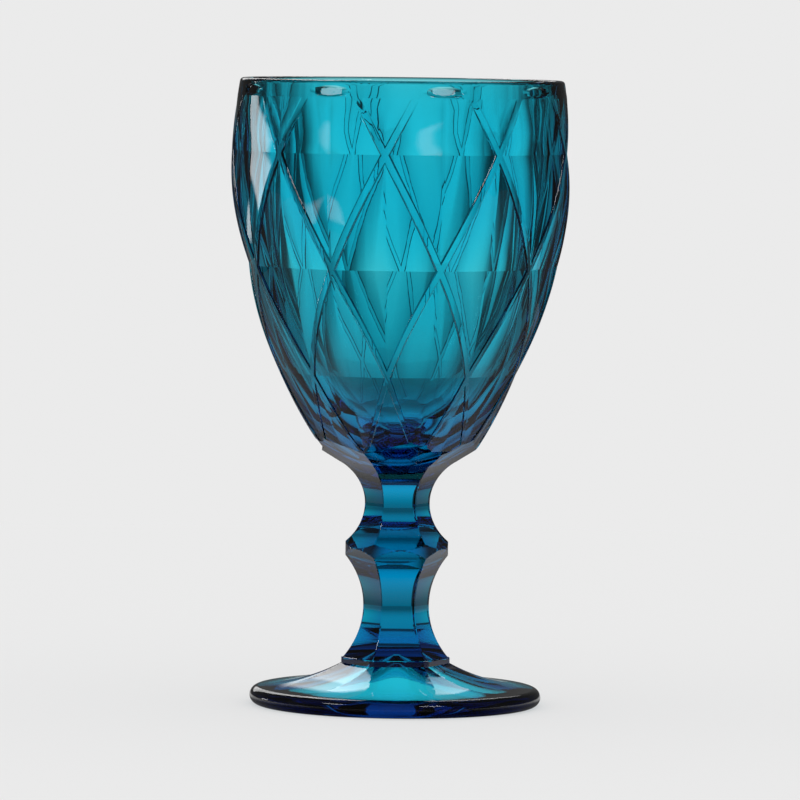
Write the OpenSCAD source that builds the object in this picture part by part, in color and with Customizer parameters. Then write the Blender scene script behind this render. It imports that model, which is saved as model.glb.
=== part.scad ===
// A pressed glass goblet: a patterned bowl on a six-sided stem with a knop, and a fluted round foot.
// Up is +Z, and the origin is the middle of the ring that the foot stands on. The front is -Y.

/* [Bowl] */
// Height of the bowl, from its joint with the stem to the rim
bowl_h = 100.9; // [92:0.1:115]
// Outer diameter at the rim
rim_d = 85.5; // [80:0.1:89]
// Greatest outer diameter, over the ridges of the pattern
belly_d = 89.5; // [86:0.1:100]
// Height of the widest level above the bowl's joint with the stem
belly_h = 77.4; // [60:0.1:82]
// Diameter that the bowl's curve comes down to at the joint, outside the stem's facets
bowl_base_d = 37.2; // [34:0.2:42]
// Power of the outside's curve: the higher it is, the fuller the bowl
outside_power = 1.86; // [1.7:0.01:2.1]
// Thickness of the glass at the rim
lip_t = 2.4; // [1.8:0.1:3]
// Thickness of the wall at the widest level, from the inside to the ridges
wall_t = 5; // [4.4:0.1:6]
// Power of the inside's curve: the higher it is, the fuller the inside
inside_power = 1.85; // [1.7:0.01:2]
// Glass on the axis, between the bowl's joint with the stem and the inside
floor_t = 5.4; // [4:0.1:9]
// Radius of the rounding on each side of the rim
lip_round_r = 1.1; // [0.6:0.1:1.2]

/* [Diamond pattern] */
// Number of diamonds around the bowl
diamond_n = 9; // [6:1:12]
// Height of the lowest points of the pattern above the bowl's joint with the stem
collar_h = 3.9; // [2:0.1:8]
// Height of the plain band under the rim
band_h = 4.5; // [3:0.1:10]
// How far the middle of a diamond in the middle row lies below the outline of the ridges
facet_sink = 1.6; // [0.5:0.1:2]
// How far a ridge stands above the facets beside it
ridge_h = 0.25; // [0.1:0.05:0.4]
// Height over which a diamond's cut end steps out to the plain band
band_step_h = 0.7; // [0.3:0.1:1.5]
// Direction of the first column of points, counted around +Z from +X
pattern_turn = -95.5; // [-180:0.1:180]

/* [Stem] */
// Height of the stem between the knop and the bowl
upper_stem_h = 20.7; // [16:0.1:30]
// Width across the flats at the upper waist
upper_waist_w = 15; // [12:0.1:18]
// Height of the upper waist above the knop
upper_waist_h = 9.9; // [8:0.1:12]
// Width across the flats at the joint with the bowl
bowl_joint_w = 26.2; // [22:0.1:30]
// Height of the stem between the foot and the knop
lower_stem_h = 26.6; // [20:0.1:40]
// Width across the flats at the lower waist
lower_waist_w = 15.2; // [12:0.1:18]
// Height of the lower waist above the foot
lower_waist_h = 13.6; // [10:0.1:18]

/* [Knop] */
// Diameter of the knop
knop_d = 27.1; // [24:0.1:34]
// Height of the knop at the corners of the stem
knop_h = 4.2; // [3:0.1:6]
// How far the stem's corners lie inside the knop's outline where they meet it
knop_ledge = 0.1; // [0.05:0.05:0.5]

/* [Foot] */
// Diameter of the foot
foot_d = 76.9; // [66:0.1:86]
// Height of the foot's curve, from the table to the plinth
flare_h = 11; // [8:0.1:16]
// Height of the six-sided plinth that carries the stem
plinth_h = 1.6; // [1:0.1:3]
// How far the plinth stands out beyond the stem's flats
plinth_ledge = 0.7; // [0.3:0.1:1.5]
// How far the plinth's rounded corners stay inside its sharp ones
plinth_corner_cut = 0.4; // [0.1:0.1:0.8]
// Radius of the foot's rounded edge
foot_edge_r = 2.35; // [1.8:0.05:3]
// Radius of the foot's hollow curve, seen from the side
flare_r = 51; // [45:1:80]
// Radius of each flute's hollow curve, seen from the side
flute_r = 48; // [42:1:80]
// Distance from the foot's edge to where the flutes fade out
flute_margin = 5.4; // [4:0.1:10]
// Width of the flat ring that the foot stands on
rest_ring_w = 2.6; // [1.5:0.1:5]
// Depth of the hollow under the foot
hollow_h = 11.8; // [6:0.1:12]

/* [Hidden] */
$fn = 96;
// Segments of the large circles, which the hollow curves of the foot are short stretches of
wide_fn = 720;

GLASS = [0.05, 0.56, 0.66];
stem_sides = 6;
side_angle = 360 / stem_sides;
// A corner of the stem lies below the second column of points, so the pattern and the facets share a mirror plane
facet_turn = pattern_turn + 360 / diamond_n - side_angle / 2;

// Levels of the joints
foot_top = flare_h + plinth_h;
knop_low = foot_top + lower_stem_h;
knop_top = knop_low + knop_h;
bowl_low = knop_top + upper_stem_h;

// The bowl's outline
rim_r = rim_d / 2;
belly_r = belly_d / 2;
bowl_base_r = bowl_base_d / 2;
inner_belly_r = belly_r - wall_t;
inner_rim_r = rim_r - lip_t;
lip_low_h = bowl_h - lip_round_r;

// The pattern's grid: a column of points every half diamond, and steps along each side of a diamond
steps = 8;
column_n = 2 * diamond_n * steps;
pattern_low_h = collar_h;
pattern_top_h = bowl_h - band_h;
half_diamond = 180 / diamond_n;
// Levels of the rows of points. The last is above the band, which cuts that row's diamonds at half height
row_shares = [0, 0.216, 0.519, 0.843, 1.157];
band_cut_share = 0.5;
// Row of the pattern that the band cuts off
band_row = 3;
// Depth of the diamonds whose middles are on the second, third and fourth row
sink_shares = [0.4, 1, 0.65];
round_steps = 3;
arc_steps = 28;
// The hollow under the foot rises in this many steps, ever steeper towards the middle
hollow_steps = 16;
hollow_power = 1.8;

// The stem's facets
knop_r = knop_d / 2;
knop_flat_r = knop_r * cos(side_angle / 2) - knop_ledge;
upper_flat_r = upper_waist_w / 2;
lower_flat_r = lower_waist_w / 2;
bowl_joint_flat_r = bowl_joint_w / 2;
upper_waist_to_bowl = upper_stem_h - upper_waist_h;
// Radii of the facets' hollow curves: above and below the upper waist, and of the lower stem
neck_hollow_r = hollow_radius(bowl_joint_flat_r - upper_flat_r, upper_waist_to_bowl);
upper_hollow_r = hollow_radius(knop_flat_r - upper_flat_r, upper_waist_h);
lower_hollow_r = hollow_radius(knop_flat_r - lower_flat_r, lower_stem_h - lower_waist_h);
upper_waist_z = knop_top + upper_waist_h;
lower_waist_z = foot_top + lower_waist_h;
foot_joint_flat_r = flat_at(lower_flat_r, lower_hollow_r, lower_waist_h);
// The facets run on up the bowl at the slope that they have at the joint
bowl_facet_lean = asin(upper_waist_to_bowl / neck_hollow_r);

// The foot's outline
foot_r = foot_d / 2;
plinth_flat_r = foot_joint_flat_r + plinth_ledge;
plinth_r = plinth_flat_r / cos(side_angle / 2) - plinth_corner_cut;
edge_middle_r = foot_r - foot_edge_r;
edge_top = 2 * foot_edge_r;
flare_centre = arc_centre([plinth_r, flare_h], [edge_middle_r, edge_top], flare_r);
flute_end_r = foot_r - flute_margin;
flute_end = [flute_end_r, flare_centre.y - sqrt(pow(flare_r, 2) - pow(flare_centre.x - flute_end_r, 2))];
flute_centre = arc_centre([plinth_flat_r, flare_h], flute_end, flute_r);
hollow_edge_r = edge_middle_r - rest_ring_w;

// Cuts run past the surfaces that they open
overrun = 1;
facet_cut_l = 2 * knop_d;

// Radius of a hollow that is upright at the waist and has come out by rise at the given reach
function hollow_radius(rise, reach) = (pow(reach, 2) + pow(rise, 2)) / (2 * rise);

// Distance of a facet from the axis, at the given reach from its waist
function flat_at(waist_r, hollow_r, reach) = waist_r + hollow_r - sqrt(pow(hollow_r, 2) - pow(reach, 2));

// Centre of the arc from a to b, with a the higher point, that bulges down towards the axis
function arc_centre(a, b, r) =
    let (chord = b - a, half = norm(chord) / 2, across = [-chord.y, chord.x] / norm(chord))
    (a + b) / 2 + across * sqrt(pow(r, 2) - pow(half, 2));

// Outer radius of the bowl over the ridges: one curve below the widest level and one above it
function bowl_r(h) = h < belly_h
    ? belly_r - (belly_r - bowl_base_r) * pow((belly_h - h) / belly_h, outside_power)
    : belly_r - (belly_r - rim_r) * pow((h - belly_h) / (lip_low_h - belly_h), outside_power);

// Level of a row of points above the bowl's joint
function row_h(k) = pattern_low_h + row_shares[k] * (pattern_top_h - pattern_low_h);

// How far along the half diamond a column lies, from the points of row k to the points of row k + 1
function along(i, k) =
    let (m = i % (2 * steps), from_first = (m < steps ? m : 2 * steps - m) / steps)
    k % 2 == 1 ? from_first : 1 - from_first;

// Depth of the middle of a diamond whose middle is on row j
function sink(j) = facet_sink * sink_shares[max(0, min(len(sink_shares) - 1, j - 1))];

// Height of the ridges above the facets, which fades out towards the band
function ridge_at(k, t) = k == band_row ? ridge_h * (1 - t / band_cut_share) : ridge_h;

// Radius on a facet that is flat from side to side: from the ridge, at share w, to the crease in the middle
function facet_r(r, w, share, depth) =
    let (middle = r - depth * w)
    r * middle * sin(w * half_diamond) / (middle * sin(share * half_diamond) + r * sin((w - share) * half_diamond));

// Radius of the pattern at share t of the way up from row k, in column i of the grid
function pattern_r(i, k, t, h) =
    let (share = along(i, k), r = bowl_r(h) - ridge_at(k, t))
    share == t ? bowl_r(h)
    : share < t ? facet_r(r, t, share, sink(k + 1))
    : facet_r(r, 1 - t, 1 - share, sink(k));

// Rows of the outer surface, each as [height, row of the pattern, share of the way up it, patterned or not]
bowl_rows = concat(
    [[0, 0, 0, true]],
    [for (k = [0:band_row - 1]) for (s = [0:steps - 1])
        [row_h(k) + (row_h(k + 1) - row_h(k)) * s / steps, k, s / steps, true]],
    [for (s = [0:steps * band_cut_share])
        [row_h(band_row) + (row_h(band_row + 1) - row_h(band_row)) * s / steps, band_row, s / steps, true]],
    [[pattern_top_h + band_step_h, band_row, 0, false]],
    [for (s = [0:round_steps])
        [lip_low_h + lip_round_r * sin(90 * s / round_steps), band_row, 0, false]]
);

function lip_inset(h) = h <= lip_low_h ? 0 : lip_round_r - sqrt(max(0, pow(lip_round_r, 2) - pow(h - lip_low_h, 2)));

function row_point(row, i) =
    let (h = row[0])
    let (r = row[3] ? pattern_r(i, row[1], row[2], h) : bowl_r(min(h, lip_low_h)) - lip_inset(h))
    let (angle = pattern_turn + 360 * i / column_n)
    [r * cos(angle), r * sin(angle), bowl_low + h];

// Two triangles between rows j and j + 1, split along the ridges
function cell(i, j) =
    let (next = (i + 1) % column_n, a = j * column_n + i, b = j * column_n + next)
    let (c = (j + 1) * column_n + next, d = (j + 1) * column_n + i)
    (floor(i / steps) + bowl_rows[j][1]) % 2 == 1 ? [[a, d, c], [a, c, b]] : [[a, d, b], [d, c, b]];

// Solid of the bowl's outer surface
module bowl_blank() {
    row_n = len(bowl_rows);
    points = [for (row = bowl_rows) for (i = [0:column_n - 1]) row_point(row, i)];
    sides = [for (j = [0:row_n - 2]) for (i = [0:column_n - 1]) each cell(i, j)];
    under = [for (i = [0:column_n - 1]) i];
    over = [for (i = [0:column_n - 1]) row_n * column_n - 1 - i];
    polyhedron(points = points, faces = concat(sides, [under, over]), convexity = 4);
}

// Space inside the bowl: a round hollow up to the widest level, which then widens a little more to the rim
module bowl_inside() {
    depth = belly_h - floor_t;
    low = [for (s = [0:arc_steps]) let (a = 90 * (1 - s / arc_steps))
        [inner_belly_r * cos(a), belly_h - depth * pow(sin(a), 2 / inside_power)]];
    high = [for (s = [1:round_steps]) let (up = s / round_steps)
        [inner_belly_r - (inner_belly_r - inner_rim_r) * pow(up, 2), belly_h + (lip_low_h - belly_h) * up]];
    lip = [for (s = [1:round_steps]) let (a = 90 * s / round_steps)
        [inner_rim_r + lip_round_r * (1 - cos(a)), lip_low_h + lip_round_r * sin(a)]];
    mouth = [[inner_rim_r + lip_round_r, bowl_h + overrun], [0, bowl_h + overrun]];
    translate([0, 0, bowl_low]) rotate_extrude() polygon(concat(low, high, lip, mouth));
}

// Repeats a cut on each side of the stem
module each_side() {
    for (i = [0:stem_sides - 1]) rotate([0, 0, facet_turn + side_angle * i]) children();
}

// Takes off what lies outside a facet that runs on from the stem up the bowl
module bowl_facet_cut() {
    translate([bowl_joint_flat_r, -belly_r, bowl_low])
        rotate([0, bowl_facet_lean, 0]) translate([0, 0, -overrun]) cube([belly_r, belly_d, belly_r]);
}

// Hollow facet: a cylinder that lies across, with its near side on the waist
module stem_facet_cut(waist_z, flat_r, hollow_r) {
    translate([flat_r + hollow_r, 0, waist_z])
        rotate([90, 0, 0]) cylinder(r = hollow_r, h = facet_cut_l, center = true);
}

// A length of the stem, as a round blank before its facets are cut
module stem_blank(low, high) {
    translate([0, 0, low]) cylinder(r = bowl_base_r, h = high - low);
}

module bowl() {
    color(GLASS) difference() {
        bowl_blank();
        bowl_inside();
        each_side() bowl_facet_cut();
    }
}

// The facets' hollow has one radius above the upper waist and another below it
module upper_stem() {
    color(GLASS) {
        difference() {
            stem_blank(upper_waist_z, bowl_low);
            each_side() stem_facet_cut(upper_waist_z, upper_flat_r, neck_hollow_r);
        }
        difference() {
            stem_blank(knop_top, upper_waist_z);
            each_side() stem_facet_cut(upper_waist_z, upper_flat_r, upper_hollow_r);
        }
    }
}

// The ring that is left between the upper and the lower facets
module knop() {
    color(GLASS) difference() {
        translate([0, 0, knop_low]) cylinder(r = knop_r, h = knop_h);
        each_side() stem_facet_cut(upper_waist_z, upper_flat_r, upper_hollow_r);
        each_side() stem_facet_cut(lower_waist_z, lower_flat_r, lower_hollow_r);
    }
}

module lower_stem() {
    color(GLASS) difference() {
        stem_blank(foot_top, knop_low);
        each_side() stem_facet_cut(lower_waist_z, lower_flat_r, lower_hollow_r);
    }
}

// Round foot with a hollow flare above and a rounded edge
module foot_blank() {
    rotate_extrude() {
        difference() {
            square([edge_middle_r, flare_h]);
            translate(flare_centre) circle(r = flare_r, $fn = wide_fn);
        }
        translate([edge_middle_r, foot_edge_r]) circle(r = foot_edge_r);
    }
}

// Flute: a cylinder that lies across, from the plinth down to where it fades out
module flute_cut() {
    translate([flute_centre.x, 0, flute_centre.y])
        rotate([90, 0, 0]) cylinder(r = flute_r, h = foot_d, center = true, $fn = wide_fn);
}

// Six-sided plinth with rounded corners, on the middle of the foot
module plinth() {
    translate([0, 0, flare_h]) intersection() {
        rotate([0, 0, facet_turn + side_angle / 2])
            cylinder(r = plinth_flat_r / cos(side_angle / 2), h = plinth_h, $fn = stem_sides);
        cylinder(r = plinth_r, h = plinth_h);
    }
}

// Hollow under the foot, which also reaches below the foot so that it opens downwards
module hollow_cut() {
    rotate_extrude() polygon(concat(
        [for (s = [0:hollow_steps]) let (share = s / hollow_steps)
            [hollow_edge_r * share, hollow_h * pow(1 - share, hollow_power)]],
        [[hollow_edge_r, -foot_edge_r], [0, -foot_edge_r]]
    ));
}

module foot() {
    color(GLASS) difference() {
        union() {
            difference() {
                foot_blank();
                each_side() flute_cut();
            }
            plinth();
        }
        hollow_cut();
    }
}

bowl();
upper_stem();
knop();
lower_stem();
foot();
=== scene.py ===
# %% [markdown]
# A pressed glass goblet, finished in Blender around its CAD parts. The CAD solids hold the shape and the
# sizes. Clear glass shows every edge in front of and behind it, so each of its five sections is modelled
# again here, with the narrow lands, sloping edges and crisp creases that catch the light.

# %% Load the frame
import math
import bpy
import numpy as np
from mathutils import Matrix, Vector


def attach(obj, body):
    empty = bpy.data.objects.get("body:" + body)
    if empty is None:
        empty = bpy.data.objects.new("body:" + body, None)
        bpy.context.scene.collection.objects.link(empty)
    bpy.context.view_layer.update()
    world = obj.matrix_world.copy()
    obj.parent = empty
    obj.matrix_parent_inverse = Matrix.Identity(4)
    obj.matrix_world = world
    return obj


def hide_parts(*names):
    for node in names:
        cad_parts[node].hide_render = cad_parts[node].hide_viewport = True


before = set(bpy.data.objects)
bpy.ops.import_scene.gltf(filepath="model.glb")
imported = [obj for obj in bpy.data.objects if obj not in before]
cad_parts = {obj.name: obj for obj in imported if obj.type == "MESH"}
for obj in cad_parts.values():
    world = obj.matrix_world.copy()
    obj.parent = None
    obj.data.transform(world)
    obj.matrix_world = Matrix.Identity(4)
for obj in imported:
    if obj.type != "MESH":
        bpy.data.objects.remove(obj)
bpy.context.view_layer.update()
NODES = ["bowl", "upper_stem", "knop", "lower_stem", "foot"]

# %% [markdown]
# The sizes are those of the part's source, in metres. The pattern has nine diamonds around, so its points
# stand in eighteen columns. The stem has six sides, and one of its corners lies below a column of points.

# %% Sizes of the goblet
MM = 0.001
DIAMONDS = 9
HALF = math.pi / DIAMONDS
PATTERN_TURN = math.radians(-95.5)
SIDES = 6
SIDE = 2 * math.pi / SIDES
FACET_TURN = PATTERN_TURN + 2 * HALF - SIDE / 2

FOOT_TOP, KNOP_LOW, KNOP_TOP, BOWL_LOW, RIM = 12.6 * MM, 39.2 * MM, 43.4 * MM, 64.1 * MM, 165 * MM
BELLY_R, BELLY_Z = 44.75 * MM, BOWL_LOW + 77.4 * MM
BASE_R, RIM_R = 18.6 * MM, 42.75 * MM
LIP_ROUND = 1.1 * MM
LIP_LOW = RIM - LIP_ROUND
OUTSIDE_POWER, INSIDE_POWER = 1.86, 1.85
BELLY_WALL, RIM_WALL, FLOOR_WALL = 5 * MM, 2.4 * MM, 5.4 * MM
INNER_BELLY_R, INNER_RIM_R = BELLY_R - BELLY_WALL, RIM_R - RIM_WALL
FLOOR_Z = BOWL_LOW + FLOOR_WALL
PATTERN_LOW, PATTERN_TOP = BOWL_LOW + 3.9 * MM, RIM - 4.5 * MM
ROW_SHARES = (0, 0.216, 0.519, 0.843, 1.157)
ROW_Z = [PATTERN_LOW + share * (PATTERN_TOP - PATTERN_LOW) for share in ROW_SHARES]
LAST_ROW = 3
BAND_ROW = LAST_ROW + 0.5
FACET_SINK = 1.6 * MM
SINK_SHARES = [0.6, 1.2, 0.8]
RIDGE = 0.25 * MM
JOINT_GAP = 0.01 * MM
print("rows of points at", [round(z / MM, 1) for z in ROW_Z], "mm")


def outside_r(z):
    """Outer radius of the bowl over the ridges."""
    if z < BELLY_Z:
        share = (BELLY_Z - z) / (BELLY_Z - BOWL_LOW)
        return BELLY_R - (BELLY_R - BASE_R) * share ** OUTSIDE_POWER
    share = (min(z, LIP_LOW) - BELLY_Z) / (LIP_LOW - BELLY_Z)
    return BELLY_R - (BELLY_R - RIM_R) * share ** OUTSIDE_POWER


# %% Helpers for working on one object by hand
def only(obj):
    """Deselects everything, then selects one object and makes it active."""
    bpy.ops.object.select_all(action="DESELECT")
    obj.select_set(True)
    bpy.context.view_layer.objects.active = obj


def edit(obj, mode="EDGE"):
    """Opens an object for editing, all of it selected."""
    only(obj)
    bpy.ops.object.mode_set(mode="EDIT")
    bpy.ops.mesh.select_mode(type=mode)
    bpy.ops.mesh.select_all(action="SELECT")


def done():
    """Goes back to object mode, which writes the edits into the mesh."""
    bpy.ops.object.mode_set(mode="OBJECT")


def coords(obj):
    """All the vertex positions as an array."""
    flat = np.empty(len(obj.data.vertices) * 3)
    obj.data.vertices.foreach_get("co", flat)
    return flat.reshape(-1, 3)


def place(obj, points):
    """Moves every vertex to its new position."""
    obj.data.vertices.foreach_set("co", np.asarray(points, dtype=float).ravel())
    obj.data.update()


def pick_edges(obj, test):
    """Selects the edges whose two ends pass a test, and opens the object for editing."""
    only(obj)
    mesh = obj.data
    mesh.vertices.foreach_set("select", [False] * len(mesh.vertices))
    mesh.polygons.foreach_set("select", [False] * len(mesh.polygons))
    picked = [bool(test(*(mesh.vertices[i].co for i in edge.vertices))) for edge in mesh.edges]
    mesh.edges.foreach_set("select", picked)
    bpy.ops.object.mode_set(mode="EDIT")
    bpy.ops.mesh.select_mode(type="EDGE")


def grow(obj, rings):
    """Extrudes the selected loop ring by ring. A ring gives the new points from the old, in order of angle."""
    for ring in rings:
        bpy.ops.mesh.extrude_edges_move()
        bpy.ops.object.mode_set(mode="OBJECT")
        picked = np.zeros(len(obj.data.vertices), dtype=bool)
        obj.data.vertices.foreach_get("select", picked)
        index = np.nonzero(picked)[0]
        points = coords(obj)
        angle = np.arctan2(points[index, 1], points[index, 0])
        index = index[np.argsort(angle)]
        points[index] = ring(np.sort(angle))
        place(obj, points)
        bpy.ops.object.mode_set(mode="EDIT")


def smooth(share):
    """Eases a share between 0 and 1 at both ends."""
    return share * share * (3 - 2 * share)


def within(share):
    return max(0, min(1, share))


print("helpers: only, edit, done, coords, place, pick_edges, grow, smooth, within")

# %% [markdown]
# The outside of the bowl is a lattice of diamonds, cut into the mould facet by facet. One diamond is
# modelled flat, on a sheet where it is a square stood on its corner: x counts half diamonds around the
# bowl and y counts rows. Its frame is inset to make the raised land, inset again to make the land's
# sloping edge, and poked to make the four facets. Depth is a share here: 0 on the land, -1 on a facet.
# Cuts both ways give the facets enough points to bend. Each pair below is an inset and the drop after it.

# %% One diamond, modelled flat
LAND_EDGES = [(0.036, 0), (0.005, 0.08), (0.004, 0.22), (0.005, 0.4), (0.004, 0.22), (0.005, 0.08)]
CREASE = 0.022
GRID = 10

bpy.ops.object.select_all(action="DESELECT")
bpy.ops.mesh.primitive_circle_add(vertices=4, radius=1, fill_type="NGON")
tile = bpy.context.object
edit(tile, "FACE")
for inset, drop in LAND_EDGES:
    bpy.ops.mesh.inset(thickness=inset, depth=0)
    bpy.ops.transform.translate(value=(0, 0, -drop))
bpy.ops.mesh.poke()
for step in range(1 - GRID, GRID):
    for place_at in ({step / GRID} if step else {0, -CREASE, CREASE}):
        for way in ((1, 0, 0), (0, 1, 0)):
            bpy.ops.mesh.select_all(action="SELECT")
            bpy.ops.mesh.bisect(plane_co=[place_at * w for w in way], plane_no=way)
done()
print("tile:", len(tile.data.vertices), "vertices,", len(tile.data.polygons), "faces")

# %% [markdown]
# The mould repeats one diamond all around, so the sheet is made of copies of the tile. Joining and merging
# them makes one surface, where a sheet modelled in one go would have to be cut nine times over.

# %% Copy the diamond over the sheet, and trim the sheet at the foot and at the band
MERGE = 1e-4
copies = []
for row in range(len(ROW_Z)):
    for column in range(DIAMONDS):
        copy = bpy.data.objects.new("diamond", tile.data.copy())
        bpy.context.collection.objects.link(copy)
        copy.location = (2 * column + row % 2, row, 0)
        copies.append(copy)
bpy.data.objects.remove(tile)
bpy.ops.object.select_all(action="DESELECT")
for copy in copies:
    copy.select_set(True)
bowl = copies[0]
bpy.context.view_layer.objects.active = bowl
bpy.ops.object.transform_apply(location=True, rotation=False, scale=False)
bpy.ops.object.join()
bowl.name = "bowl_glass"
edit(bowl)
bpy.ops.mesh.remove_doubles(threshold=MERGE)
bpy.ops.mesh.select_all(action="SELECT")
bpy.ops.mesh.bisect(plane_co=(0, 0, 0), plane_no=(0, 1, 0), clear_inner=True)
bpy.ops.mesh.select_all(action="SELECT")
bpy.ops.mesh.bisect(plane_co=(0, BAND_ROW, 0), plane_no=(0, 1, 0), clear_outer=True)
done()
print("sheet:", len(bowl.data.vertices), "vertices")

# %% [markdown]
# Above the diamonds runs a plain band. Each column of diamonds ends in it with a small scoop, shaped like
# a capsule on its side. The band is extruded from the sheet's top edge, and cut finely where the scoops go.

# %% The band under the lip
ROW_PITCH = ROW_Z[LAST_ROW + 1] - ROW_Z[LAST_ROW]
SCOOP_Z, SCOOP_HALF_L, SCOOP_HALF_H, SCOOP_SINK = 162.1 * MM, 4.2 * MM, 1.2 * MM, 0.8 * MM
SCOOPED_TO = SCOOP_Z + 1.5 * MM
BAND_STEPS = 12
SAME_ROW = 1e-5


def row_at(z):
    """Row of the sheet at a height in the band."""
    return LAST_ROW + (z - ROW_Z[LAST_ROW]) / ROW_PITCH


pick_edges(bowl, lambda a, b: abs(a.y - BAND_ROW) < SAME_ROW and abs(b.y - BAND_ROW) < SAME_ROW)
band_levels = list(np.linspace(BAND_ROW, row_at(SCOOPED_TO), BAND_STEPS)[1:]) + [row_at(LIP_LOW)]
for low, high in zip([BAND_ROW] + band_levels, band_levels):
    bpy.ops.mesh.extrude_edges_move(TRANSFORM_OT_translate={"value": (0, high - low, 0)})
done()
scoop_columns = math.ceil(SCOOP_HALF_L / (RIM_R * HALF) / CREASE)
only(bowl)
mesh = bowl.data
mesh.polygons.foreach_set("select", [face.center.y > BAND_ROW - 1 / GRID for face in mesh.polygons])
bpy.ops.object.mode_set(mode="EDIT")
bpy.ops.mesh.select_mode(type="FACE")
for column in range(DIAMONDS):
    for step in range(-scoop_columns, scoop_columns + 1):
        bpy.ops.mesh.bisect(plane_co=(2 * column + 1 + step * CREASE, 0, 0), plane_no=(1, 0, 0))
done()
print("with the band:", len(bowl.data.vertices), "vertices")

# %% [markdown]
# Rolling up the sheet puts each point at its angle, height and radius. A facet is flat from side to side,
# as a cutter leaves it, so its radius is that of a straight line from the ridge to the crease.


# %% Roll the sheet up into the bowl
LOW_ROUNDING = 1.7
FADE_ROWS = 0.42
BULGE = 0.15 * MM
SCOOP_EDGE = 0.5 * MM
SCOOP_POWER, SCOOP_LEAST = 1.4, 0.25
FULL_DEPTH = 0.99
TINY = 1e-6
LAND, CREASES, FACETS = 0, 5, 7


def tile_place(u, v):
    """Place of a point relative to the middle of its diamond, and that diamond's row."""
    best = None
    for row in (math.floor(v), math.floor(v) + 1):
        column = 2 * round((u - row % 2) / 2) + row % 2
        du, dv = u - column, v - row
        if best is None or abs(du) + abs(dv) < abs(best[0]) + abs(best[1]):
            best = (du, dv, row)
    return best


def region(u, v, depth):
    """Which surface of the pattern a point is on: land with its slopes, crease or one of four facets."""
    du, dv, _ = tile_place(u, v)
    if -depth < FULL_DEPTH or v > BAND_ROW:
        return LAND
    if abs(du) < CREASE:
        return CREASES + (dv > 0)
    return FACETS + (du > 0) + 2 * (dv > 0)


def scoop(across, z):
    """Depth of the scoop at the top of a column of diamonds."""
    x = abs(across) * HALF * RIM_R
    along, up = (x / SCOOP_HALF_L) ** SCOOP_POWER, (z - SCOOP_Z) / SCOOP_HALF_H
    out = SCOOP_HALF_H * (math.hypot(along, up) - 1)
    lean = SCOOP_LEAST + (1 - SCOOP_LEAST) * within((1 + up) / 2)
    return SCOOP_SINK * lean * smooth(within(0.5 - out / SCOOP_EDGE))


def pattern_point(u, v, depth):
    """Rolled-up position of a point of the sheet."""
    du, dv, row = tile_place(u, v)
    k = min(int(v), len(ROW_Z) - 2)
    share = (v - k) ** (LOW_ROUNDING if k == 0 else 1)
    z = ROW_Z[k] + share * (ROW_Z[k + 1] - ROW_Z[k])
    ridge_r = outside_r(z)
    if v > BAND_ROW - TINY:
        r = ridge_r - scoop(du if row % 2 else 1 - abs(du), z)
        angle = PATTERN_TURN + u * HALF
        return r * math.cos(angle), r * math.sin(angle), z
    ridge_fade = max(0, 1 - (v - LAST_ROW) / (BAND_ROW - LAST_ROW)) ** 2 if v > LAST_ROW else 1
    edge = ridge_r - RIDGE * ridge_fade
    width = max(1 - abs(dv), TINY)
    share_of_row = SINK_SHARES[max(0, min(len(SINK_SHARES) - 1, row - 1))]
    sink = FACET_SINK * share_of_row * smooth(min(1, (BAND_ROW - v) / FADE_ROWS))
    middle = edge - sink * width
    at = min(max(abs(du), CREASE), width)
    facet = edge * middle * math.sin(width * HALF) / (
        middle * math.sin(at * HALF) + edge * math.sin((width - at) * HALF))
    across = (at - CREASE) / max(width - CREASE, CREASE)
    facet += BULGE * width * 4 * across * max(0, 1 - across)
    r = ridge_r + (facet - ridge_r) * -depth
    angle = PATTERN_TURN + u * HALF
    return r * math.cos(angle), r * math.sin(angle), z


SAME_PLACE = 0.002 * MM
flat = coords(bowl)
place(bowl, [pattern_point(*p) for p in flat])
regions = bowl.data.attributes.new("surface", "INT", "FACE")
for face, item in zip(bowl.data.polygons, regions.data):
    mean = flat[list(face.vertices)].mean(axis=0)
    item.value = region(*mean)
edit(bowl)
bpy.ops.mesh.remove_doubles(threshold=SAME_PLACE)
done()
print("rolled up:", len(bowl.data.vertices), "vertices")

# %% [markdown]
# The rest of the bowl grows out of that lattice, as a potter would pull it. The lower loop goes down to
# the joint with the stem. The upper loop goes up the plain band, over the rounded lip and down the inside
# to the floor, where it closes.


# %% Grow the collar, the band, the lip and the inside
def turned(r, z):
    """A ring of a plain turned surface."""
    return lambda angle: np.column_stack((r * np.cos(angle), r * np.sin(angle), np.full(len(angle), z)))


def inside_r(z):
    """Radius of the bowl's inside."""
    if z > BELLY_Z:
        return INNER_BELLY_R + (INNER_RIM_R - INNER_BELLY_R) * ((z - BELLY_Z) / (LIP_LOW - BELLY_Z)) ** 2
    share = (BELLY_Z - z) / (BELLY_Z - FLOOR_Z)
    return INNER_BELLY_R * math.sqrt(max(0, 1 - share ** INSIDE_POWER))


def pick_level(z):
    """Picks the bowl's loop of edges at a height."""
    pick_edges(bowl, lambda a, b: abs(a.z - z) < TINY and abs(b.z - z) < TINY)


low_z = ROW_Z[0]
joint_z = BOWL_LOW + JOINT_GAP
COLLAR_DROPS = (1 * MM, 2.5 * MM)
pick_level(low_z)
grow(bowl, [turned(outside_r(z) - RIDGE, z) for z in (*(low_z - drop for drop in COLLAR_DROPS), joint_z)])
bpy.ops.mesh.edge_face_add()
done()

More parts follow.
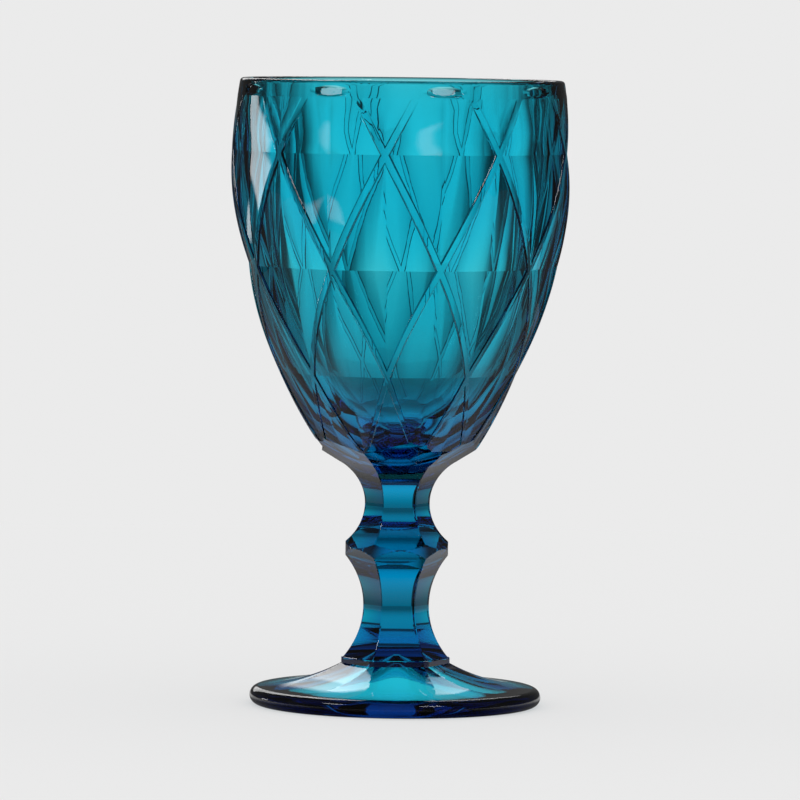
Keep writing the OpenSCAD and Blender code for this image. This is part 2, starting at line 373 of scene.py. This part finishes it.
LIP_STEPS, UPPER_STEPS, INSIDE_STEPS = 8, 10, 44
pick_level(LIP_LOW)
rings = []
for step in range(1, LIP_STEPS + 1):
    turn = math.radians(90) * step / LIP_STEPS
    out, up = LIP_ROUND * (1 - math.cos(turn)), LIP_ROUND * math.sin(turn)
    rings.append(turned(RIM_R - out, LIP_LOW + up))
for step in range(LIP_STEPS, -1, -1):
    turn = math.radians(90) * step / LIP_STEPS
    out, up = LIP_ROUND * (1 - math.cos(turn)), LIP_ROUND * math.sin(turn)
    rings.append(turned(INNER_RIM_R + out, LIP_LOW + up))
for z in np.linspace(LIP_LOW, BELLY_Z, UPPER_STEPS)[1:]:
    rings.append(turned(inside_r(z), z))
for step in range(1, INSIDE_STEPS):
    turn = math.radians(90) * step / INSIDE_STEPS
    z = BELLY_Z - (BELLY_Z - FLOOR_Z) * math.sin(turn) ** (2 / INSIDE_POWER)
    rings.append(turned(INNER_BELLY_R * math.cos(turn), z))
grow(bowl, rings)
bpy.ops.mesh.merge(type="CENTER")
done()
print("bowl grown:", len(bowl.data.vertices), "vertices")

# %% [markdown]
# The stem's six facets are hollow, like the cut of a large round wheel, so each side of the stem is an arc
# when it is seen from beside. The arcs are known by the distance of a facet from the axis at the waists and
# at the joints, and everything else about the stem is worked out from them.

# %% Outline of the stem's hollow facets
def hollow_radius(rise, reach):
    """Radius of a hollow that is upright at the waist and has come out by rise at the given reach."""
    return (reach ** 2 + rise ** 2) / (2 * rise)


CORNER_CUT = 0.1 * MM
KNOP_R = 13.55 * MM
KNOP_FLAT = KNOP_R * math.cos(SIDE / 2) - CORNER_CUT
UPPER_FLAT, LOWER_FLAT, BOWL_FLAT = 7.5 * MM, 7.6 * MM, 13.1 * MM
UPPER_WAIST, LOWER_WAIST = KNOP_TOP + 9.9 * MM, FOOT_TOP + 13.6 * MM
NECK_HOLLOW = hollow_radius(BOWL_FLAT - UPPER_FLAT, BOWL_LOW - UPPER_WAIST)
UPPER_HOLLOW = hollow_radius(KNOP_FLAT - UPPER_FLAT, UPPER_WAIST - KNOP_TOP)
LOWER_HOLLOW = hollow_radius(KNOP_FLAT - LOWER_FLAT, KNOP_LOW - LOWER_WAIST)


def stem_flat(z, waist, flat, over, under):
    """Distance of a facet from the axis at height z."""
    hollow = over if z > waist else under
    return flat + hollow - math.sqrt(max(0, hollow ** 2 - (z - waist) ** 2))


def upper_flat(z):
    return stem_flat(z, UPPER_WAIST, UPPER_FLAT, NECK_HOLLOW, UPPER_HOLLOW)


def lower_flat(z):
    return stem_flat(z, LOWER_WAIST, LOWER_FLAT, LOWER_HOLLOW, LOWER_HOLLOW)


print("hollow radii:", [round(r / MM, 1) for r in (NECK_HOLLOW, UPPER_HOLLOW, LOWER_HOLLOW)], "mm")

# %% [markdown]
# The six facets run on up the bowl at the slope that they have at the joint. Together they are a six-sided
# cone, so the bowl keeps what it has in common with one. A boolean does that in one step and closes the cut.

# %% Cut the facets of the collar
lean = math.asin((BOWL_LOW - UPPER_WAIST) / NECK_HOLLOW)
CUTTER_REACH = 2 * MM
low, high = BOWL_LOW - CUTTER_REACH, RIM + CUTTER_REACH
low_flat, high_flat = (BOWL_FLAT + (z - BOWL_LOW) * math.tan(lean) for z in (low, high))
bpy.ops.mesh.primitive_cone_add(
    vertices=SIDES, radius1=low_flat / math.cos(SIDE / 2), radius2=high_flat / math.cos(SIDE / 2),
    depth=high - low, location=(0, 0, (low + high) / 2), rotation=(0, 0, FACET_TURN))
cutter = bpy.context.object
only(bowl)
keep = bowl.modifiers.new("keep", "BOOLEAN")
keep.operation = "INTERSECT"
keep.solver = "EXACT"
keep.object = cutter
bpy.ops.object.modifier_apply(modifier="keep")
only(cutter)
bpy.ops.object.delete()
edit(bowl)
bpy.ops.mesh.select_all(action="SELECT")
bpy.ops.mesh.quads_convert_to_tris(quad_method="BEAUTY", ngon_method="BEAUTY")
bpy.ops.mesh.normals_make_consistent(inside=False)
done()
print("facets lean", round(math.degrees(lean), 1), "degrees;", len(bowl.data.polygons), "triangles")

# %% [markdown]
# Every level of the stem, the knop and the foot is a circle with six flat sides cut off it. A section
# keeps its points in the same order at each level, so the line where a flat meets the round stays one
# clean edge. Each piece starts as a flat circle and is extruded level by level.

# %% Sections of the stem and the foot
LEAST_REACH = math.radians(13)
TENTHS_OF_MICRONS = 1e7
crease_points = set()


def near(point):
    """A point's place to a tenth of a micrometre, so that it can be looked up."""
    return tuple(round(float(c) * TENTHS_OF_MICRONS) for c in point)


def section(z, flat, round_r, flat_steps, round_steps):
    """One level: six straight sides at the distance flat, with corners on the circle of radius round_r."""
    radius = min(round_r, flat / math.cos(SIDE / 2) - CORNER_CUT)
    true_reach = math.acos(min(flat / radius, 1))
    reach = max(true_reach, LEAST_REACH)
    points = []
    for side in range(SIDES):
        middle = FACET_TURN + side * SIDE
        for step in range(flat_steps + round_steps):
            if step < flat_steps:
                turn = reach * (2 * step / flat_steps - 1)
            else:
                turn = reach + (SIDE - 2 * reach) * (step - flat_steps) / round_steps
            r = min(radius, flat / math.cos(turn)) if abs(turn) < reach else radius
            points.append((r * math.cos(middle + turn), r * math.sin(middle + turn), z))
            if true_reach == reach and step in (0, flat_steps):
                crease_points.add(near(points[-1]))
    points = np.array(points)
    return points[np.argsort(np.arctan2(points[:, 1], points[:, 0]))]


def loft(name, levels, flat_steps, round_steps):
    """A solid through a list of sections, from the first to the last, with flat ends."""
    bpy.ops.object.select_all(action="DESELECT")
    bpy.ops.mesh.primitive_circle_add(
        vertices=SIDES * (flat_steps + round_steps), radius=1 * MM, fill_type="NGON")
    obj = bpy.context.object
    obj.name = name
    points = coords(obj)
    order = np.argsort(np.arctan2(points[:, 1], points[:, 0]))
    points[order] = section(*levels[0], flat_steps, round_steps)
    place(obj, points)
    edit(obj)
    grow(obj, [lambda angle, level=level: section(*level, flat_steps, round_steps) for level in levels[1:]])
    bpy.ops.mesh.edge_face_add()
    bpy.ops.mesh.select_all(action="SELECT")
    bpy.ops.mesh.normals_make_consistent(inside=False)
    done()
    print(name, len(obj.data.vertices), "vertices")
    return obj


print("sections have", SIDES, "flats and as many rounded corners")

# %% [markdown]
# Two hollow lengths of stem meet the knop, a ring that keeps its round outline between the facets. A hair's
# gap is left at each joint, so that two surfaces never lie in one plane, which would leave black specks.

# %% The stem and the knop
WIDE = 1
STEM_STEPS, KNOP_STEPS = (8, 3), (14, 10)
UPPER_LEVELS, KNOP_LEVELS, LOWER_LEVELS = 32, 21, 36
UPPER_ENDS = (KNOP_TOP + JOINT_GAP, BOWL_LOW - JOINT_GAP)
KNOP_ENDS = (KNOP_LOW + JOINT_GAP, KNOP_TOP - JOINT_GAP)
LOWER_ENDS = (FOOT_TOP + JOINT_GAP, KNOP_LOW - JOINT_GAP)
upper_levels = [(z, upper_flat(z), WIDE) for z in np.linspace(*UPPER_ENDS, UPPER_LEVELS)]
knop_levels = [(z, min(upper_flat(z), lower_flat(z)), KNOP_R) for z in np.linspace(*KNOP_ENDS, KNOP_LEVELS)]
lower_levels = [(z, lower_flat(z), WIDE) for z in np.linspace(*LOWER_ENDS, LOWER_LEVELS)]
upper = loft("upper_stem_glass", upper_levels, *STEM_STEPS)
knop = loft("knop_glass", knop_levels, *KNOP_STEPS)
lower = loft("lower_stem_glass", lower_levels, *STEM_STEPS)

# %% [markdown]
# The foot is turned, then fluted: each flute is a shallow hollow from the plinth to near the edge. Its
# levels go from the hollow underneath, around the rounded edge and up the flare to the six-sided plinth.
# The hollow is deep in the middle, and it bends the light that makes the foot's face shine.

# %% Outline of the foot
FOOT_R, FLARE_H = 38.45 * MM, 11 * MM
EDGE_R, FLARE_R, FLUTE_R = 2.35 * MM, 51 * MM, 48 * MM
HOLLOW_H, HOLLOW_POWER, REST_RING = 11.8 * MM, 1.8, 2.6 * MM
PLINTH_LEDGE, PLINTH_CORNER_CUT = 0.7 * MM, 0.4 * MM
PLINTH_FLAT = lower_flat(FOOT_TOP) + PLINTH_LEDGE
PLINTH_R = PLINTH_FLAT / math.cos(SIDE / 2) - PLINTH_CORNER_CUT
EDGE_MIDDLE = FOOT_R - EDGE_R
HOLLOW_EDGE = EDGE_MIDDLE - REST_RING
FLUTE_TO_EDGE = 5.4 * MM


def arc_centre(a, b, r):
    """Centre of the arc from a to b, with a the higher point, that bulges down towards the axis."""
    a, b = np.array(a), np.array(b)
    chord = b - a
    length = np.linalg.norm(chord)
    across = np.array((-chord[1], chord[0])) / length
    return (a + b) / 2 + across * math.sqrt(r ** 2 - (length / 2) ** 2)


flare = arc_centre((PLINTH_R, FLARE_H), (EDGE_MIDDLE, 2 * EDGE_R), FLARE_R)
flute_end_r = FOOT_R - FLUTE_TO_EDGE
flute_end = (flute_end_r, flare[1] - math.sqrt(FLARE_R ** 2 - (flare[0] - flute_end_r) ** 2))
flute = arc_centre((PLINTH_FLAT, FLARE_H), flute_end, FLUTE_R)


def arc_x(centre, r, z):
    """Distance from the axis of a hollow arc at height z."""
    return centre[0] - math.sqrt(max(0, r ** 2 - (centre[1] - z) ** 2))


print("flutes end", round((FOOT_R - flute_end_r) / MM, 1), "mm from the edge")

# %% The foot, level by level
HOLLOW_STEPS, EDGE_STEPS, FLARE_STEPS = 24, 29, 41
INNERMOST = 0.03
FOOT_STEPS = (16, 14)
levels = []
for share in np.linspace(INNERMOST, 1, HOLLOW_STEPS):
    levels.append((HOLLOW_H * (1 - share) ** HOLLOW_POWER, WIDE, HOLLOW_EDGE * share))
levels.append((0, WIDE, EDGE_MIDDLE))
for turn in np.radians(np.linspace(-90, 90, EDGE_STEPS)[1:]):
    levels.append((EDGE_R + EDGE_R * math.sin(turn), WIDE, EDGE_MIDDLE + EDGE_R * math.cos(turn)))
for r in np.linspace(EDGE_MIDDLE, PLINTH_R, FLARE_STEPS)[1:]:
    z = flare[1] - math.sqrt(FLARE_R ** 2 - (flare[0] - r) ** 2)
    fluted = arc_x(flute, FLUTE_R, z) if z < flute[1] else r
    levels.append((z, fluted if z > flute_end[1] else WIDE, r))
levels[-1] = (FLARE_H, PLINTH_FLAT, PLINTH_R)
top = FOOT_TOP - JOINT_GAP
PLINTH_ROUNDING = [(0.25 * MM, 0, 0), (0.07 * MM, 0.07 * MM, 0.08 * MM), (0, 0.25 * MM, 0.28 * MM)]
for down, flat_in, corner_in in PLINTH_ROUNDING:
    levels.append((top - down, PLINTH_FLAT - flat_in, PLINTH_R - corner_in))
levels.append((top, lower_flat(FOOT_TOP), WIDE))
foot = loft("foot_glass", levels, *FOOT_STEPS)

# %% [markdown]
# Materials, the room and the floor are all networks of nodes. These helpers make one node, fill its sockets
# and name the sums that are used more than once, so that a network reads like a formula.


# %% Helpers for node networks
def network(owner):
    """Gives a material or world an empty network, which the helpers below add to."""
    owner.use_nodes = True
    owner.node_tree.nodes.clear()
    return owner.node_tree


def node(kind, **values):
    new = tree.nodes.new(kind)
    for key, value in values.items():
        setattr(new, key, value)
    return new


def join(sockets, values):
    """Puts each value on its socket, as a link or as a number."""
    for socket, value in zip(sockets, values):
        if isinstance(value, bpy.types.NodeSocket):
            tree.links.new(value, socket)
        else:
            socket.default_value = value


def fill(target, **values):
    """Puts values on the sockets of those names, with _ for each space."""
    for name, value in values.items():
        join((target.inputs[name.replace("_", " ")],), (value,))
    return target


def calculate(operation, *values):
    new = node("ShaderNodeMath", operation=operation)
    join(new.inputs, values)
    return new.outputs[0]


def fade(value, start, end, low, high):
    """Goes smoothly from low to high while the value goes from start to end."""
    new = node("ShaderNodeMapRange", interpolation_type="SMOOTHSTEP")
    join(new.inputs, (value, start, end, low, high))
    return new.outputs[0]


print("helpers: network, node, join, fill, calculate, fade")

# %% [markdown]
# The glass is coloured all through, so its colour is in the volume: light loses red quickly, green slowly
# and blue least. The surface itself is clear, with only the slight waviness that a mould leaves. Where two
# sections meet there is no surface in the real glass. A face attribute marks the joints, and it takes the
# refraction away there. It is one material all the same, because light has to leave the volume that it
# entered, and a second material for the joints would turn them black.

# %% The glass
GLASS_IOR, JOINT_IOR = 1.52, 1
GLASS_COLOUR, GLASS_DENSITY = (0.0, 0.887, 0.949, 1), 600
WAVES_PER_METRE, WAVE_STRENGTH, WAVE_H = 90, 0.05, 1 * MM
glass = bpy.data.materials.new("blue_green_glass")
tree = network(glass)
where = node("ShaderNodeTexCoord").outputs["Object"]
wave = fill(node("ShaderNodeTexNoise"), Vector=where, Scale=WAVES_PER_METRE, Detail=1)
bump = fill(node("ShaderNodeBump"), Strength=WAVE_STRENGTH, Distance=WAVE_H, Height=wave.outputs["Fac"])
joint = node("ShaderNodeAttribute", attribute_name="joint").outputs["Fac"]
ior = fill(node("ShaderNodeMapRange"), Value=joint, To_Min=GLASS_IOR, To_Max=JOINT_IOR).outputs["Result"]
surface = fill(node("ShaderNodeBsdfPrincipled"), Base_Color=(1, 1, 1, 1), Roughness=0, IOR=ior,
               Transmission_Weight=1, Normal=bump.outputs["Normal"])
absorb = fill(node("ShaderNodeVolumeAbsorption"), Color=GLASS_COLOUR, Density=GLASS_DENSITY)
fill(node("ShaderNodeOutputMaterial"), Surface=surface.outputs[0], Volume=absorb.outputs[0])
print("glass:", len(tree.nodes), "nodes")

# %% [markdown]
# Each section takes the place of its CAD solid, with the glass on it. Its joint faces are marked for the
# material. Edges are crisp where the mould's surfaces meet, and everything else is shaded smooth.

# %% Give each section its glass, its marked joints and its body
ENDS = {"bowl": (joint_z,), "upper_stem": UPPER_ENDS, "knop": KNOP_ENDS, "lower_stem": LOWER_ENDS,
        "foot": (top,)}
SMOOTH_ANGLE = math.radians(9)
SAME_LEVEL = 1e-7
for name, obj in zip(NODES, (bowl, upper, knop, lower, foot)):
    only(obj)
    bpy.ops.object.shade_smooth_by_angle(angle=SMOOTH_ANGLE)
    obj.data.materials.append(glass)
    joint_reach = BASE_R if name != "foot" else lower_flat(FOOT_TOP) / math.cos(SIDE / 2)
    at_joint = obj.data.attributes.new("joint", "FLOAT", "FACE")
    count = 0
    for face in obj.data.polygons:
        corners = [obj.data.vertices[i].co for i in face.vertices]
        if max(math.hypot(c.x, c.y) for c in corners) < joint_reach and any(
                all(abs(c.z - end) < SAME_LEVEL for c in corners) for end in ENDS[name]):
            at_joint.data[face.index].value = 1
            count += 1
    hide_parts(name)
    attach(obj, "root")
    print(name, "has", count, "joint faces")

# %% Crisp edges
surface_of = [item.value for item in bowl.data.attributes["surface"].data]
touching = {}
for face in bowl.data.polygons:
    for key in face.edge_keys:
        touching.setdefault(key, set()).add(surface_of[face.index])
for edge in bowl.data.edges:
    if len(touching[edge.key]) > 1:
        edge.use_edge_sharp = True
for obj in (upper, knop, lower, foot):
    on_crease = [near(vertex.co) in crease_points for vertex in obj.data.vertices]
    for edge in obj.data.edges:
        if all(on_crease[i] for i in edge.vertices):
            edge.use_edge_sharp = True
print("crisp edges on the bowl:", sum(edge.use_edge_sharp for edge in bowl.data.edges))

# %% [markdown]
# Clear glass shows its surroundings more than itself, so what the camera sees and what the glass shows are
# set apart. The camera sees a plain pale backdrop. Reflections show a nearly dark room with a few soft boxes,
# as a photographer places them to draw streaks on glass. Light that has come through the glass meets a lit
# cloth, further on. Everything else is lit evenly from all around.


# %% Helpers for the room, in angles around the glass
def screens(turn, half_width, soft, level):
    """Four tall screens around the glass, the first at the given turn from behind it, all in degrees."""
    quarter = calculate("MULTIPLY_ADD", azimuth, 2 / math.pi, 0.5 - turn / 90)
    away = calculate("ABSOLUTE", calculate("SUBTRACT", calculate("FRACT", quarter), 0.5))
    return fade(away, (half_width + soft) / 90, (half_width - soft) / 90, 0, level)


def place_of(coordinates):
    """Azimuth, from the back and in radians, and height of a direction or of a place."""
    split = node("ShaderNodeSeparateXYZ")
    join(split.inputs, (node("ShaderNodeTexCoord").outputs[coordinates],))
    return calculate("ARCTAN2", split.outputs["X"], split.outputs["Y"]), split.outputs["Z"]


WINDOW_SOFTNESS = 1


def window(middle, half_width, low, high, level):
    """A soft box far away, in degrees of azimuth from the back and of elevation."""
    def around(degrees, turn):
        return [turn(math.radians(degrees + soft)) for soft in (-WINDOW_SOFTNESS, WINDOW_SOFTNESS)]

    away = calculate("ABSOLUTE", calculate("SUBTRACT", azimuth, math.radians(middle)))
    wide = fade(away, *around(half_width, float), level, 0)
    over = fade(height, *around(low, math.sin), 0, 1)
    under = fade(height, *around(high, math.sin), 1, 0)
    return calculate("MULTIPLY", wide, calculate("MULTIPLY", over, under))


print("helpers: screens, place_of, window")

# %% What the room shows to each kind of ray
PALE = (0.83, 0.83, 0.83, 1)
WHITE = (1, 1, 1, 1)
FOOT_WINDOWS = [(-13, 9, 24, 50, 2.4), (-13, 9, 8, 24, 1.2), (9, 6, 24, 50, 1.2)]
BOWL_WINDOWS = [(-54.5, 4.5, -9, 5, 3), (-125.5, 3, -10, -4.5, 2), (158, 1.8, -10, -4.5, 1.8)]
CEILING = (0.75, 0.95, 0.5, 0.15)
DARK_ROOM, DIM_SCREENS = 0.06, 0.04
world = bpy.data.worlds.new("room")
bpy.context.scene.world = world
tree = network(world)
azimuth, height = place_of("Generated")
through = fade(height, *CEILING)
mirrored = calculate("MULTIPLY_ADD", screens(0, 11, 11, 1), DIM_SCREENS, DARK_ROOM)
for values in FOOT_WINDOWS + BOWL_WINDOWS:
    mirrored = calculate("ADD", mirrored, window(*values))
path = node("ShaderNodeLightPath")


def choose(ray, first, second):
    """One background for the given kind of ray, another for the rest."""
    mix = node("ShaderNodeMixShader")
    join(mix.inputs, (path.outputs[ray], second, first))
    return mix.outputs[0]


def background(value):
    new = node("ShaderNodeBackground")
    join(new.inputs, (value,))
    return new.outputs[0]


light = choose("Is Glossy Ray", background(mirrored), background(WHITE))
light = choose("Is Transmission Ray", background(through), light)
light = choose("Is Camera Ray", background(PALE), light)
fill(node("ShaderNodeOutputWorld"), Surface=light)
print("room:", len(tree.nodes), "nodes")

# %% [markdown]
# The camera sees a plain pale floor. It is part matt, which keeps the shadow, and part glowing, which
# keeps it as pale as the backdrop. Through the glass it glows with painted light and shade instead: a
# painted pool of light under the hollow of the foot, a painted shadow in a ring where the foot stands,
# painted shade towards the front, and a glow that fades further out.

# %% The floor
FLOOR_R, FLOOR_DROP, MATT_SHARE = 0.6, 0.02 * MM, 0.4
# Painted light for rays through the glass: a painted pool of light under the hollow of the foot, a painted
# shadow ring where the foot stands, painted shade towards the front, and a glow fading further out.
PAINTED_HOLLOW_LIGHT = (30 * MM, 36 * MM, 0.85, 0)
PAINTED_RING_SHADOW, TABLE_FAR = (39 * MM, 50 * MM, 0.1, 0.6), (70 * MM, 200 * MM, 1, 0.35)
PAINTED_FRONT_SHADE = (1.9, 2.6, 1, 0.3)
bpy.ops.object.select_all(action="DESELECT")
bpy.ops.mesh.primitive_circle_add(vertices=128, radius=FLOOR_R, fill_type="NGON", location=(0, 0, -FLOOR_DROP))
floor = bpy.context.object
floor.name = "floor"
pale_floor = bpy.data.materials.new("pale_floor")
tree = network(pale_floor)
glow = fill(node("ShaderNodeEmission"), Color=PALE)
matt = fill(node("ShaderNodeBsdfDiffuse"), Color=PALE)
plain = node("ShaderNodeMixShader")
join(plain.inputs, (MATT_SHARE, glow.outputs[0], matt.outputs[0]))
length = node("ShaderNodeVectorMath", operation="LENGTH")
join(length.inputs, (node("ShaderNodeTexCoord").outputs["Object"],))
reach = length.outputs["Value"]
azimuth, _ = place_of("Object")
# Glow level with the painted shadow ring around the foot, the fade further out and the painted shade in front;
# the painted pool of light under the hollow is added next.
painted_table_light = calculate("MULTIPLY", fade(reach, *PAINTED_RING_SHADOW), fade(reach, *TABLE_FAR))
painted_table_light = calculate("MULTIPLY", painted_table_light, fade(calculate("ABSOLUTE", azimuth), *PAINTED_FRONT_SHADE))
painted_table_glow = fill(node("ShaderNodeEmission"), Color=calculate("MAXIMUM", fade(reach, *PAINTED_HOLLOW_LIGHT), painted_table_light))
mix = node("ShaderNodeMixShader")
join(mix.inputs, (node("ShaderNodeLightPath").outputs["Is Camera Ray"], painted_table_glow.outputs[0], plain.outputs[0]))
fill(node("ShaderNodeOutputMaterial"), Surface=mix.outputs[0])
floor.data.materials.append(pale_floor)
print("floor:", FLOOR_R, "m in radius,", len(tree.nodes), "nodes")

# %% [markdown]
# A studio lights glass from behind through a cloth. This one goes all around, so that the glass looks
# right from every side, and only light that has come through the glass sees it. It is brightest behind
# the glass, with dark gaps between its screens that give the edges their dark lines.

# %% The lit cloth around the glass
CLOTH_R, CLOTH_H, CLOTH_SIDES = 0.3, 1.2, 96
MAIN_SCREENS, DIM_CORNERS, THIN_SCREENS = (11, 9, 0.6), (45, 8, 3, 0.36), (1, 0.6, 0.8)
THIN_AT = 31
BEHIND, ASIDE = (0.17, 0.36, 0.3, 0.05), (0.35, 0.8, 1, 0.7)
BELOW, ABOVE = (-0.02, 0.18, 0.38, 1.03), (0.2, 0.45, 1, 0.6)
bpy.ops.object.select_all(action="DESELECT")
bpy.ops.mesh.primitive_cylinder_add(
    vertices=CLOTH_SIDES, radius=CLOTH_R, depth=CLOTH_H, end_fill_type="NOTHING", location=(0, 0, CLOTH_H / 2))
bpy.ops.object.transform_apply(location=True)
cloth = bpy.context.object
cloth.name = "cloth"
cloth.visible_camera = cloth.visible_diffuse = cloth.visible_glossy = cloth.visible_shadow = False
lit_cloth = bpy.data.materials.new("lit_cloth")
tree = network(lit_cloth)
azimuth, height = place_of("Object")
aside = calculate("ABSOLUTE", azimuth)
lit = calculate("ADD", screens(0, *MAIN_SCREENS), screens(*DIM_CORNERS))
thin = calculate("ADD", screens(THIN_AT, *THIN_SCREENS), screens(-THIN_AT, *THIN_SCREENS))
lit = calculate("ADD", calculate("ADD", lit, thin), fade(aside, *BEHIND))
for dimming in (fade(aside, *ASIDE), fade(height, *BELOW), fade(height, *ABOVE)):
    lit = calculate("MULTIPLY", lit, dimming)
glow = fill(node("ShaderNodeEmission"), Color=WHITE, Strength=lit)
fill(node("ShaderNodeOutputMaterial"), Surface=glow.outputs[0])
cloth.data.materials.append(lit_cloth)
print("cloth:", len(tree.nodes), "nodes")

# %% [markdown]
# Two soft boxes in front, high on the left and on the right, make the scoops under the rim shine. They are
# area lamps, which are easy to size and to aim, and only reflections show them.


# %% Lamps
LAMP_ELEVATION, LAMP_DISTANCE, LAMP_AIM_Z = 40, 1.2, 0.1


def strip_lamp(name, azimuth_deg, width, height, power):
    """A soft box that faces the middle of the goblet."""
    lamp = bpy.data.lights.new(name, "AREA")
    lamp.shape = "RECTANGLE"
    lamp.size, lamp.size_y, lamp.energy = width, height, power
    obj = bpy.data.objects.new(name, lamp)
    bpy.context.collection.objects.link(obj)
    a, e = math.radians(azimuth_deg), math.radians(LAMP_ELEVATION)
    middle = Vector((0, 0, LAMP_AIM_Z))
    away = Vector((math.sin(a) * math.cos(e), -math.cos(a) * math.cos(e), math.sin(e)))
    obj.location = middle + LAMP_DISTANCE * away
    obj.rotation_euler = (middle - obj.location).to_track_quat("-Z", "Y").to_euler()
    obj.visible_diffuse = obj.visible_transmission = False
    print(name, "at", [round(c, 2) for c in obj.location])


strip_lamp("left_box", -60, 0.29, 0.25, 0.95)
strip_lamp("right_box", 35, 0.33, 0.2, 0.85)

# %% [markdown]
# The photo looks slightly down at the glass from far away, so a long lens stands well back. The camera is
# also rolled by the small tilt that the photo's glass has, and moved aside by its small shift.

# %% Camera
LENS, SENSOR = 304, 36
CAMERA_SHIFT, CAMERA_DISTANCE, CAMERA_Z, AIM_Z = 0.37 * MM, 1.777, 0.187, 0.0805
ROLL = math.radians(0.72)
camera = bpy.data.cameras.new("camera")
camera.lens, camera.sensor_width = LENS, SENSOR
camera_obj = bpy.data.objects.new("camera", camera)
bpy.context.collection.objects.link(camera_obj)
camera_obj.location = (CAMERA_SHIFT, -CAMERA_DISTANCE, CAMERA_Z)
look = (Vector((CAMERA_SHIFT, 0, AIM_Z)) - camera_obj.location).to_track_quat("-Z", "Y")
camera_obj.rotation_euler = (look.to_matrix() @ Matrix.Rotation(ROLL, 3, "Z")).to_euler()
bpy.context.scene.camera = camera_obj
bpy.context.scene.view_settings.view_transform = "Standard"
print("camera looks down by", round(math.degrees(math.atan2(CAMERA_Z - AIM_Z, CAMERA_DISTANCE)), 1), "degrees")
